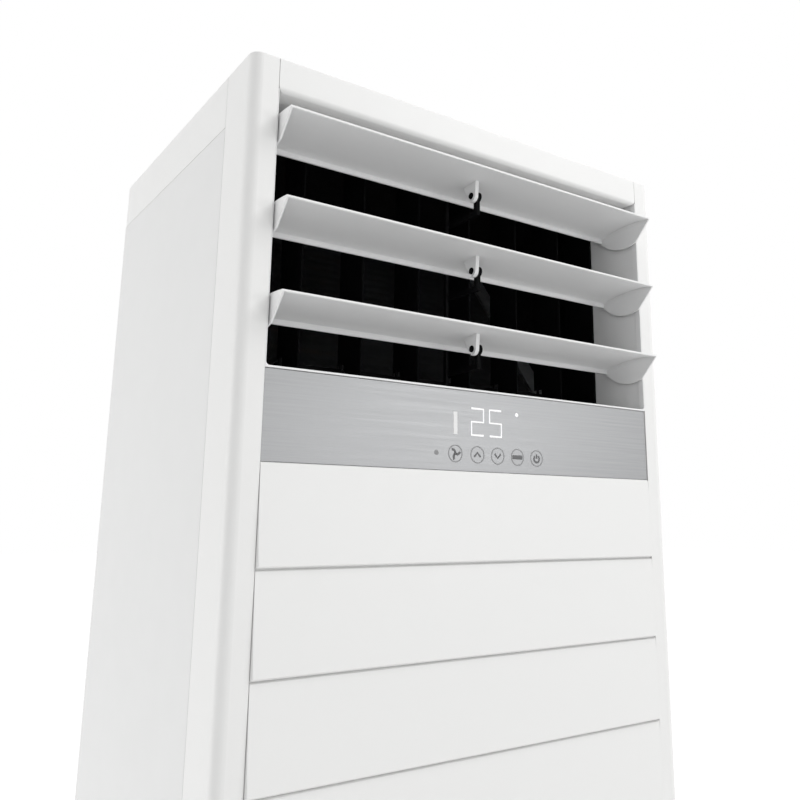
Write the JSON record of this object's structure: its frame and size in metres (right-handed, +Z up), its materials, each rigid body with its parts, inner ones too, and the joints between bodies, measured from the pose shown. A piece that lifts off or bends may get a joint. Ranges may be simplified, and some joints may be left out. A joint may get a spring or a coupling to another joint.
{
  "type": "floor standing air conditioner indoor unit",
  "caption": "Tall white floor standing air conditioner with curved air vanes over upright fins, a brushed control strip, a stepped front and a hinged intake door.",
  "frame": {"origin": "on the floor, under the centre of the casing", "axes": "+X to the right as seen from the front, +Y towards the back, +Z up"},
  "size_m": [0.59, 0.4744, 1.85],
  "materials": {
    "white_moulding": "moulded white, satin",
    "white_paint": "white powder coat",
    "vane_plastic": "pale grey-white, satin",
    "outlet_white": "white, satin",
    "black_plastic": "black, matt",
    "fascia_metal": "brushed silver, horizontal grain",
    "galvanised": "galvanised sheet",
    "fin_foil": "bare foil",
    "copper": "drawn copper",
    "brass_nut": "turned brass",
    "foam": "black foam",
    "grey_plastic": "dark grey, matt",
    "motor_cast": "cast and painted grey",
    "shaft_steel": "ground steel",
    "board_green": "board laminate",
    "filter_net": "dark net in a frame",
    "rubber_black": "soft rubber",
    "magnet_grey": "pale grey"
  },
  "bodies": {
    "cabinet": {"front_frame": "white_moulding", "header_panel": "white_moulding", "upper_front_panel": "white_moulding", "kick_panel": "white_moulding", "top_cap": "white_moulding", "left_side_panel": "white_paint", "right_side_panel": "white_paint", "rear_panel": "white_paint", "casing_screws": "shaft_steel", "base_pan": "galvanised", "control_fascia": "fascia_metal", "touch_board": "board_green", "door_catches": "magnet_grey", "outlet_surround": "outlet_white", "outlet_duct": "black_plastic", "vane_support": "black_plastic", "vane_motor": "grey_plastic", "fin_motor": "grey_plastic", "evaporator_fins": "fin_foil", "evaporator_end_plates": "galvanised", "evaporator_coil": "copper", "refrigerant_pipes": "copper", "flare_nuts": "brass_nut", "drain_pan": "grey_plastic", "drain_pipe": "rubber_black", "chamber_wall": "galvanised", "insulation_liner": "foam", "partition_plate": "galvanised", "blower_scroll": "grey_plastic", "scroll_front_plate": "grey_plastic", "motor_bracket": "galvanised", "blower_motor": "motor_cast", "filter_guide": "grey_plastic", "control_box": "galvanised", "control_box_cover": "galvanised", "control_board": "board_green", "terminal_block": "grey_plastic", "run_capacitor": "motor_cast", "pipe_gland": "rubber_black", "cord_gland": "grey_plastic"},
    "vane_1": {"vane_1": "vane_plastic", "vane_crank_1": "grey_plastic"},
    "vane_2": {"vane_2": "vane_plastic", "vane_crank_2": "grey_plastic"},
    "vane_3": {"vane_3": "vane_plastic", "vane_crank_3": "grey_plastic"},
    "vane_link": {"vane_link_bar": "grey_plastic"},
    "fin_1": {"fin_1": "black_plastic"},
    "fin_2": {"fin_2": "black_plastic"},
    "fin_3": {"fin_3": "black_plastic"},
    "fin_4": {"fin_4": "black_plastic"},
    "fin_5": {"fin_5": "black_plastic"},
    "fin_6": {"fin_6": "black_plastic"},
    "fin_link": {"fin_link_bar": "black_plastic"},
    "blower": {"blower_wheel": "grey_plastic", "motor_shaft": "shaft_steel"},
    "intake_door": {"intake_door": "white_moulding"},
    "filter_left": {"filter_left": "filter_net"},
    "filter_right": {"filter_right": "filter_net"}
  },
  "joints": [
    {"name": "vane_1_tilt", "type": "hinge", "parent": "cabinet", "child": "vane_1", "pos_m": [0, -0.198, 1.7696], "axis": [1, 0, 0], "range_deg": [-8, 84]},
    {"name": "vane_2_tilt", "type": "hinge", "parent": "cabinet", "child": "vane_2", "pos_m": [0, -0.198, 1.6753], "axis": [1, 0, 0], "range_deg": [-8, 84]},
    {"name": "vane_3_tilt", "type": "hinge", "parent": "cabinet", "child": "vane_3", "pos_m": [0, -0.198, 1.581], "axis": [1, 0, 0], "range_deg": [-8, 84]},
    {"name": "vane_link_swing", "type": "hinge", "parent": "vane_1", "child": "vane_link", "pos_m": [0.2755, -0.18881, 1.76189], "axis": [1, 0, 0], "range_deg": [-84, 8]},
    {"name": "fin_1_turn", "type": "hinge", "parent": "cabinet", "child": "fin_1", "pos_m": [-0.19375, -0.113, 1.671], "axis": [0, 0, 1], "range_deg": [-35, 35]},
    {"name": "fin_2_turn", "type": "hinge", "parent": "cabinet", "child": "fin_2", "pos_m": [-0.11625, -0.113, 1.671], "axis": [0, 0, 1], "range_deg": [-35, 35]},
    {"name": "fin_3_turn", "type": "hinge", "parent": "cabinet", "child": "fin_3", "pos_m": [-0.03875, -0.113, 1.671], "axis": [0, 0, 1], "range_deg": [-35, 35]},
    {"name": "fin_4_turn", "type": "hinge", "parent": "cabinet", "child": "fin_4", "pos_m": [0.03875, -0.113, 1.671], "axis": [0, 0, 1], "range_deg": [-35, 35]},
    {"name": "fin_5_turn", "type": "hinge", "parent": "cabinet", "child": "fin_5", "pos_m": [0.11625, -0.113, 1.671], "axis": [0, 0, 1], "range_deg": [-35, 35]},
    {"name": "fin_6_turn", "type": "hinge", "parent": "cabinet", "child": "fin_6", "pos_m": [0.19375, -0.113, 1.671], "axis": [0, 0, 1], "range_deg": [-35, 35]},
    {"name": "fin_link_swing", "type": "hinge", "parent": "fin_1", "child": "fin_link", "pos_m": [-0.19375, -0.093, 1.5567], "axis": [0, 0, 1], "range_deg": [-35, 35]},
    {"name": "blower_spin", "type": "hinge", "parent": "cabinet", "child": "blower", "pos_m": [-0.028, 0, 0.42], "axis": [0, 1, 0], "continuous": true},
    {"name": "door_swing", "type": "hinge", "parent": "cabinet", "child": "intake_door", "pos_m": [-0.2557, -0.2135, 0.534], "axis": [0, 0, -1], "range_deg": [0, 85]},
    {"name": "filter_left_lift", "type": "slide", "parent": "cabinet", "child": "filter_left", "axis": [0, 0, 1], "range_m": [0, 0.014]},
    {"name": "filter_right_lift", "type": "slide", "parent": "cabinet", "child": "filter_right", "axis": [0, 0, 1], "range_m": [0, 0.014]}
  ],
  "couplings": [
    {"joint": "vane_2_tilt", "follows": "vane_1_tilt", "ratio": 1},
    {"joint": "vane_3_tilt", "follows": "vane_1_tilt", "ratio": 1},
    {"joint": "vane_link_swing", "follows": "vane_1_tilt", "ratio": -1},
    {"joint": "fin_2_turn", "follows": "fin_1_turn", "ratio": 1},
    {"joint": "fin_3_turn", "follows": "fin_1_turn", "ratio": 1},
    {"joint": "fin_4_turn", "follows": "fin_1_turn", "ratio": 1},
    {"joint": "fin_5_turn", "follows": "fin_1_turn", "ratio": 1},
    {"joint": "fin_6_turn", "follows": "fin_1_turn", "ratio": 1},
    {"joint": "fin_link_swing", "follows": "fin_1_turn", "ratio": -1}
  ]
}
